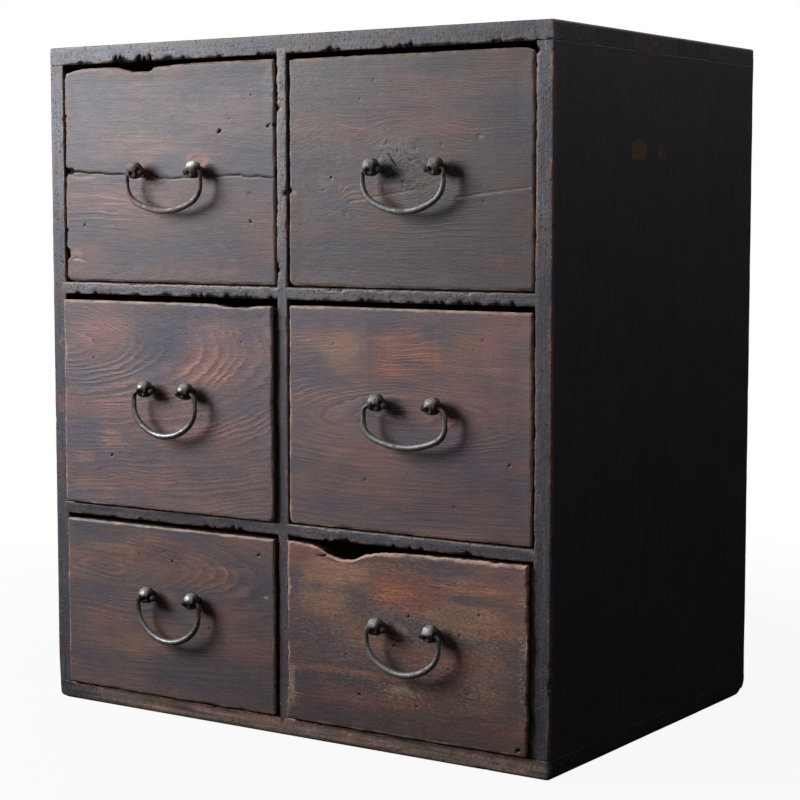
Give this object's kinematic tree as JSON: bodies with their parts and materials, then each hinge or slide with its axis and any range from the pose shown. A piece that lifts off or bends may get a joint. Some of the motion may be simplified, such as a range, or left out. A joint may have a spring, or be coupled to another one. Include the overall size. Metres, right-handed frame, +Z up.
{
  "type": "small tansu chest",
  "caption": "Small finger-jointed wooden tansu chest whose drawers slide out in two columns, each front carrying a swinging iron bail handle.",
  "frame": {"origin": "middle of the case's underside, on the surface that the chest stands on", "axes": "+Z up, the drawer fronts face -Y, +X to the right seen from the front"},
  "size_m": [0.396, 0.2934, 0.45],
  "materials": {
    "case_wood": "old wiped lacquer over softwood, near black with a cool bloom, worn edges",
    "base_wood": "old wiped lacquer worn to brown",
    "shelf_wood": "old wiped lacquer, chewed front edges",
    "back_wood": "bare aged cedar boards",
    "front_wood": "stained softwood with raised grain, rubbed to a reddish brown",
    "drawer_wood": "bare aged paulownia",
    "peg_wood": "bare wooden pegs",
    "handle_iron": "forged iron, dark brown patina with a dull sheen",
    "nail_iron": "rusted iron"
  },
  "bodies": {
    "case": {"top_board": "case_wood", "bottom_board": "base_wood", "left_side_board": "case_wood", "right_side_board": "case_wood", "back_upper_board": "back_wood", "back_lower_board": "back_wood", "centre_upright": "case_wood", "upper_left_shelf": "shelf_wood", "upper_right_shelf": "shelf_wood", "lower_left_shelf": "shelf_wood", "lower_right_shelf": "shelf_wood", "back_nails": "nail_iron"},
    "top_left_drawer": {"top_left_drawer_front": "front_wood", "top_left_drawer_left_side": "drawer_wood", "top_left_drawer_right_side": "drawer_wood", "top_left_drawer_back": "drawer_wood", "top_left_drawer_bottom": "drawer_wood", "top_left_drawer_pegs": "peg_wood", "top_left_handle_posts": "handle_iron"},
    "top_left_bail": {"top_left_handle_bail": "handle_iron"},
    "top_right_drawer": {"top_right_drawer_front": "front_wood", "top_right_drawer_left_side": "drawer_wood", "top_right_drawer_right_side": "drawer_wood", "top_right_drawer_back": "drawer_wood", "top_right_drawer_bottom": "drawer_wood", "top_right_drawer_pegs": "peg_wood", "top_right_handle_posts": "handle_iron"},
    "top_right_bail": {"top_right_handle_bail": "handle_iron"},
    "middle_left_drawer": {"middle_left_drawer_front": "front_wood", "middle_left_drawer_left_side": "drawer_wood", "middle_left_drawer_right_side": "drawer_wood", "middle_left_drawer_back": "drawer_wood", "middle_left_drawer_bottom": "drawer_wood", "middle_left_drawer_pegs": "peg_wood", "middle_left_handle_posts": "handle_iron"},
    "middle_left_bail": {"middle_left_handle_bail": "handle_iron"},
    "middle_right_drawer": {"middle_right_drawer_front": "front_wood", "middle_right_drawer_left_side": "drawer_wood", "middle_right_drawer_right_side": "drawer_wood", "middle_right_drawer_back": "drawer_wood", "middle_right_drawer_bottom": "drawer_wood", "middle_right_drawer_pegs": "peg_wood", "middle_right_handle_posts": "handle_iron"},
    "middle_right_bail": {"middle_right_handle_bail": "handle_iron"},
    "bottom_left_drawer": {"bottom_left_drawer_front": "front_wood", "bottom_left_drawer_left_side": "drawer_wood", "bottom_left_drawer_right_side": "drawer_wood", "bottom_left_drawer_back": "drawer_wood", "bottom_left_drawer_bottom": "drawer_wood", "bottom_left_drawer_pegs": "peg_wood", "bottom_left_handle_posts": "handle_iron"},
    "bottom_left_bail": {"bottom_left_handle_bail": "handle_iron"},
    "bottom_right_drawer": {"bottom_right_drawer_front": "front_wood", "bottom_right_drawer_left_side": "drawer_wood", "bottom_right_drawer_right_side": "drawer_wood", "bottom_right_drawer_back": "drawer_wood", "bottom_right_drawer_bottom": "drawer_wood", "bottom_right_drawer_pegs": "peg_wood", "bottom_right_handle_posts": "handle_iron"},
    "bottom_right_bail": {"bottom_right_handle_bail": "handle_iron"}
  },
  "joints": [
    {"name": "top_left_drawer_slide", "type": "slide", "parent": "case", "child": "top_left_drawer", "axis": [0, -1, 0], "range_m": [-0.0017, 0.2]},
    {"name": "top_left_bail_swing", "type": "hinge", "parent": "top_left_drawer", "child": "top_left_bail", "pos_m": [-0.0912, -0.146, 0.3645], "axis": [-1, 0, 0], "range_deg": [-11, 190]},
    {"name": "top_right_drawer_slide", "type": "slide", "parent": "case", "child": "top_right_drawer", "axis": [0, -1, 0], "range_m": [-0.0007, 0.2]},
    {"name": "top_right_bail_swing", "type": "hinge", "parent": "top_right_drawer", "child": "top_right_bail", "pos_m": [0.0968, -0.145, 0.3645], "axis": [-1, 0, 0], "range_deg": [-11, 190]},
    {"name": "middle_left_drawer_slide", "type": "slide", "parent": "case", "child": "middle_left_drawer", "axis": [0, -1, 0], "range_m": [-0.0057, 0.2]},
    {"name": "middle_left_bail_swing", "type": "hinge", "parent": "middle_left_drawer", "child": "middle_left_bail", "pos_m": [-0.0888, -0.15, 0.22], "axis": [-1, 0, 0], "range_deg": [-11, 190]},
    {"name": "middle_right_drawer_slide", "type": "slide", "parent": "case", "child": "middle_right_drawer", "axis": [0, -1, 0], "range_m": [-0.0017, 0.2]},
    {"name": "middle_right_bail_swing", "type": "hinge", "parent": "middle_right_drawer", "child": "middle_right_bail", "pos_m": [0.0984, -0.146, 0.22], "axis": [-1, 0, 0], "range_deg": [-11, 190]},
    {"name": "bottom_left_drawer_slide", "type": "slide", "parent": "case", "child": "bottom_left_drawer", "axis": [0, -1, 0], "range_m": [-0.0047, 0.2]},
    {"name": "bottom_left_bail_swing", "type": "hinge", "parent": "bottom_left_drawer", "child": "bottom_left_bail", "pos_m": [-0.088, -0.149, 0.081], "axis": [-1, 0, 0], "range_deg": [-11, 190]},
    {"name": "bottom_right_drawer_slide", "type": "slide", "parent": "case", "child": "bottom_right_drawer", "axis": [0, -1, 0], "range_m": [-0.0052, 0.2]},
    {"name": "bottom_right_bail_swing", "type": "hinge", "parent": "bottom_right_drawer", "child": "bottom_right_bail", "pos_m": [0.0996, -0.1495, 0.081], "axis": [-1, 0, 0], "range_deg": [-11, 190]}
  ]
}
